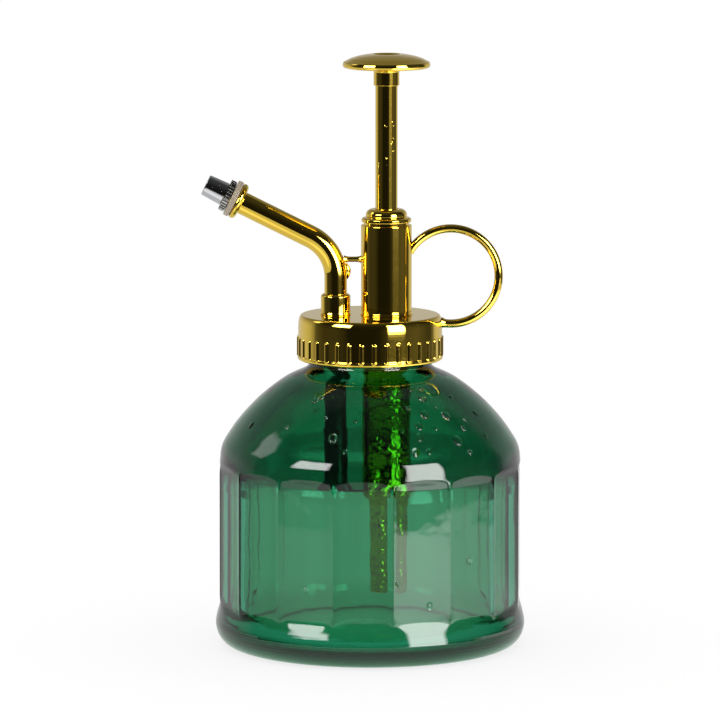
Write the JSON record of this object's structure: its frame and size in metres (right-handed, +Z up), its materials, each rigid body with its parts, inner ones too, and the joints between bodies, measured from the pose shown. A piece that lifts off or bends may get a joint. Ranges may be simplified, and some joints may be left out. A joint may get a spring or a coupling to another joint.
{
  "type": "hand mister",
  "caption": "Plant mister: faceted green glass bottle with a screw-on gold pump head, thumb plunger, finger ring, bent spout and screw-adjust spray nozzle.",
  "frame": {"origin": "centre of the bottle's flat base", "axes": "+Z up along the bottle's axis, spout towards -X, finger ring towards +X, front of the picture view towards -Y"},
  "size_m": [0.0863, 0.0828, 0.1578],
  "materials": {
    "green_glass": "clear emerald green glass",
    "gold_cap": "bright polished gold colour",
    "gold": "bright polished gold colour",
    "nozzle_chrome": "bright plated, knurled at the back",
    "steel": "plain wire and ball steel",
    "rubber": "soft black",
    "dark_plastic": "dark grey tube",
    "washer_plastic": "beige grey washer",
    "white_plastic": "natural white moulding"
  },
  "bodies": {
    "bottle": {"bottle": "green_glass"},
    "cap_seal": {"neck_gasket": "rubber"},
    "head": {"screw_cap": "gold_cap", "pump_barrel": "gold", "barrel_nut": "gold", "gland_nut": "gold", "gland_bush": "white_plastic", "rod_seal": "rubber", "return_spring": "steel", "pump_foot": "gold", "transfer_arm": "dark_plastic", "inlet_seat": "gold", "suction_pipe": "gold", "outlet_retainer": "white_plastic", "outlet_spring": "steel", "riser_tube": "dark_plastic", "spout_socket": "gold", "spout_tube": "gold", "spout_end": "gold", "nozzle_washer": "washer_plastic", "swirl_insert": "white_plastic", "finger_ring": "gold", "brace_rod": "gold", "spout_lug": "gold"},
    "plunger": {"thumb_button": "gold", "plunger_stem": "gold", "piston": "white_plastic", "piston_seal": "rubber", "piston_clip": "steel"},
    "inlet_valve": {"inlet_ball": "steel"},
    "outlet_valve": {"outlet_ball": "steel"},
    "nozzle_seal": {"nozzle_o_ring": "rubber"},
    "nozzle": {"nozzle_cap": "nozzle_chrome"}
  },
  "joints": [
    {"name": "head_rise", "type": "slide", "parent": "bottle", "child": "cap_seal", "axis": [0, 0, 1], "range_m": [0, 0.00375]},
    {"name": "head_turn", "type": "hinge", "parent": "cap_seal", "child": "head", "pos_m": [0, 0, 0.0826], "axis": [0, 0, 1], "range_deg": [0, 450]},
    {"name": "plunger_press", "type": "slide", "parent": "head", "child": "plunger", "axis": [0, 0, -1], "range_m": [0, 0.03], "stiffness_N_per_m": 150, "springref_m": -0.02, "deforming": ["return_spring"]},
    {"name": "inlet_ball_lift", "type": "slide", "parent": "head", "child": "inlet_valve", "axis": [0, 0, 1], "range_m": [0, 0.001]},
    {"name": "outlet_ball_lift", "type": "slide", "parent": "head", "child": "outlet_valve", "axis": [0, 0, 1], "range_m": [0, 0.001], "deforming": ["outlet_spring"]},
    {"name": "nozzle_travel", "type": "slide", "parent": "head", "child": "nozzle_seal", "axis": [-0.8949, 0, 0.4462], "range_m": [0, 0.0012]},
    {"name": "nozzle_turn", "type": "hinge", "parent": "nozzle_seal", "child": "nozzle", "pos_m": [-0.00915, 0, 0.106], "axis": [-0.8949, 0, 0.4462], "range_deg": [0, 540]}
  ],
  "couplings": [
    {"joint": "head_turn", "follows": "head_rise", "rad_per_m": 2094.4},
    {"joint": "nozzle_turn", "follows": "nozzle_travel", "rad_per_m": 7854}
  ]
}
